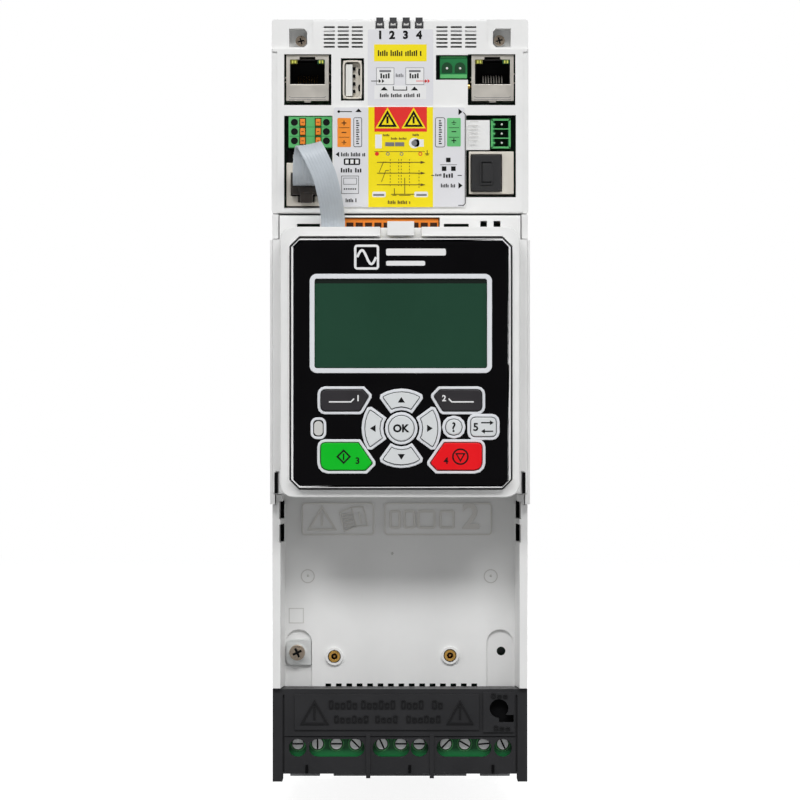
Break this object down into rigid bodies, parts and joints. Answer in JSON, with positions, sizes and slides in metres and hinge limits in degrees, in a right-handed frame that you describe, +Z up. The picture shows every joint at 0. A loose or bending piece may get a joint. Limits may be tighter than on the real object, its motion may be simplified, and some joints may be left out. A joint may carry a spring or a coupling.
{
  "type": "servo drive",
  "caption": "Narrow wall-mounted servo drive with plug-on keypad and display, network jacks, pluggable signal terminals, empty option bay and screw power terminals.",
  "frame": {"origin": "middle of the rear mounting face, on the wall, at half the drive's height", "axes": "+Z up, +Y into the wall, -Y out of the front, +X to the right seen from the front"},
  "size_m": [0.0984, 0.1903, 0.308],
  "materials": {
    "shell_plastic": "fine moulded texture",
    "black_plastic": "fine moulded texture",
    "dust_plug_rubber": "soft matt",
    "ribbon_plug_plastic": "smoky clear",
    "gloss_panel": "high gloss",
    "lcd_glass": "satin polariser behind a clear window",
    "terminal_green": "satin moulded",
    "terminal_orange": "satin moulded",
    "shield_metal": "tin plated",
    "zinc_steel": "zinc plated",
    "aluminium": "extruded, bead blasted",
    "brass": "knurled insert",
    "circuit_board": "solder mask",
    "capacitor_can": "sleeved can",
    "ribbon_grey": "ribbed flat cable",
    "key_grey": "satin silicone",
    "key_dark": "satin silicone",
    "key_green": "satin silicone",
    "key_red": "satin silicone"
  },
  "bodies": {
    "root": {"heatsink": "aluminium", "rear_housing": "shell_plastic", "fan_frame": "black_plastic", "front_housing": "shell_plastic", "power_board": "circuit_board", "power_module": "black_plastic", "dc_capacitor_upper": "capacitor_can", "dc_capacitor_lower": "capacitor_can", "mains_terminal": "terminal_green", "dc_bus_terminal": "terminal_green", "motor_terminal": "terminal_green", "upper_cover": "shell_plastic", "middle_cover": "shell_plastic", "terminal_cover": "black_plastic", "control_board": "circuit_board", "rj45_left": "shield_metal", "rj45_right": "shield_metal", "lan_jack": "shield_metal", "keypad_jack": "shield_metal", "usb_port": "shield_metal", "two_pin_header": "terminal_green", "can_header": "terminal_green", "modbus_terminal": "terminal_green", "io_terminal": "terminal_orange", "light_pipes": "black_plastic", "termination_switch": "black_plastic", "ribbon_cable": "ribbon_grey", "ribbon_plug": "ribbon_plug_plastic", "earth_tab": "zinc_steel", "earth_screw": "zinc_steel", "brass_insert_left": "brass", "brass_insert_right": "brass", "cover_screw_left": "zinc_steel", "cover_screw_right": "zinc_steel", "keypad_carrier": "shell_plastic"},
    "keypad": {"keypad_case": "shell_plastic", "keypad_panel": "gloss_panel", "lcd_module": "lcd_glass", "keypad_board": "circuit_board"},
    "button_soft_left": {"button_soft_left": "key_dark"},
    "button_soft_right": {"button_soft_right": "key_dark"},
    "button_up": {"button_up": "key_grey"},
    "button_down": {"button_down": "key_grey"},
    "button_left": {"button_left": "key_grey"},
    "button_right": {"button_right": "key_grey"},
    "button_ok": {"button_ok": "key_grey"},
    "button_help": {"button_help": "key_grey"},
    "button_local_remote": {"button_local_remote": "key_grey"},
    "button_start": {"button_start": "key_green"},
    "button_stop": {"button_stop": "key_red"},
    "release_lever_left_1": {"release_lever_left_1": "terminal_orange"},
    "release_lever_left_2": {"release_lever_left_2": "terminal_orange"},
    "release_lever_left_3": {"release_lever_left_3": "terminal_orange"},
    "release_lever_right_1": {"release_lever_right_1": "terminal_orange"},
    "release_lever_right_2": {"release_lever_right_2": "terminal_orange"},
    "release_lever_right_3": {"release_lever_right_3": "terminal_orange"},
    "keypad_latch": {"keypad_latch": "shell_plastic"},
    "termination_slider": {"termination_slider": "shell_plastic"},
    "lan_dust_plug": {"lan_dust_plug": "dust_plug_rubber"},
    "fan_rotor": {"fan_rotor": "black_plastic"}
  },
  "joints": [
    {"name": "keypad_slide", "type": "slide", "parent": "root", "child": "keypad", "axis": [0, -1, 0], "range_m": [0, 0.03]},
    {"name": "button_soft_left_press", "type": "slide", "parent": "keypad", "child": "button_soft_left", "axis": [0, 1, 0], "range_m": [0, 0.0008], "stiffness_N_per_m": 300},
    {"name": "button_soft_right_press", "type": "slide", "parent": "keypad", "child": "button_soft_right", "axis": [0, 1, 0], "range_m": [0, 0.0008], "stiffness_N_per_m": 300},
    {"name": "button_up_press", "type": "slide", "parent": "keypad", "child": "button_up", "axis": [0, 1, 0], "range_m": [0, 0.0008], "stiffness_N_per_m": 300},
    {"name": "button_down_press", "type": "slide", "parent": "keypad", "child": "button_down", "axis": [0, 1, 0], "range_m": [0, 0.0008], "stiffness_N_per_m": 300},
    {"name": "button_left_press", "type": "slide", "parent": "keypad", "child": "button_left", "axis": [0, 1, 0], "range_m": [0, 0.0008], "stiffness_N_per_m": 300},
    {"name": "button_right_press", "type": "slide", "parent": "keypad", "child": "button_right", "axis": [0, 1, 0], "range_m": [0, 0.0008], "stiffness_N_per_m": 300},
    {"name": "button_ok_press", "type": "slide", "parent": "keypad", "child": "button_ok", "axis": [0, 1, 0], "range_m": [0, 0.0008], "stiffness_N_per_m": 300},
    {"name": "button_help_press", "type": "slide", "parent": "keypad", "child": "button_help", "axis": [0, 1, 0], "range_m": [0, 0.0008], "stiffness_N_per_m": 300},
    {"name": "button_local_remote_press", "type": "slide", "parent": "keypad", "child": "button_local_remote", "axis": [0, 1, 0], "range_m": [0, 0.0008], "stiffness_N_per_m": 300},
    {"name": "button_start_press", "type": "slide", "parent": "keypad", "child": "button_start", "axis": [0, 1, 0], "range_m": [0, 0.0008], "stiffness_N_per_m": 300},
    {"name": "button_stop_press", "type": "slide", "parent": "keypad", "child": "button_stop", "axis": [0, 1, 0], "range_m": [0, 0.0008], "stiffness_N_per_m": 300},
    {"name": "latch_hinge", "type": "hinge", "parent": "root", "child": "keypad_latch", "pos_m": [0.00025, -0.1748, 0.0635], "axis": [-1, 0, 0], "range_deg": [0, 8], "stiffness_Nm_per_rad": 0.05},
    {"name": "termination_slide", "type": "slide", "parent": "root", "child": "termination_slider", "axis": [1, 0, 0], "range_m": [0, 0.0025]},
    {"name": "release_lever_left_1_press", "type": "slide", "parent": "root", "child": "release_lever_left_1", "axis": [0, 1, 0], "range_m": [0, 0.0012], "stiffness_N_per_m": 300},
    {"name": "release_lever_left_2_press", "type": "slide", "parent": "root", "child": "release_lever_left_2", "axis": [0, 1, 0], "range_m": [0, 0.0012], "stiffness_N_per_m": 300},
    {"name": "release_lever_left_3_press", "type": "slide", "parent": "root", "child": "release_lever_left_3", "axis": [0, 1, 0], "range_m": [0, 0.0012], "stiffness_N_per_m": 300},
    {"name": "release_lever_right_1_press", "type": "slide", "parent": "root", "child": "release_lever_right_1", "axis": [0, 1, 0], "range_m": [0, 0.0012], "stiffness_N_per_m": 300},
    {"name": "release_lever_right_2_press", "type": "slide", "parent": "root", "child": "release_lever_right_2", "axis": [0, 1, 0], "range_m": [0, 0.0012], "stiffness_N_per_m": 300},
    {"name": "release_lever_right_3_press", "type": "slide", "parent": "root", "child": "release_lever_right_3", "axis": [0, 1, 0], "range_m": [0, 0.0012], "stiffness_N_per_m": 300},
    {"name": "dust_plug_slide", "type": "slide", "parent": "root", "child": "lan_dust_plug", "axis": [0, -1, 0], "range_m": [0, 0.014]},
    {"name": "fan_spin", "type": "hinge", "parent": "root", "child": "fan_rotor", "pos_m": [0, -0.029, -0.1278], "axis": [0, 0, 1], "continuous": true}
  ]
}
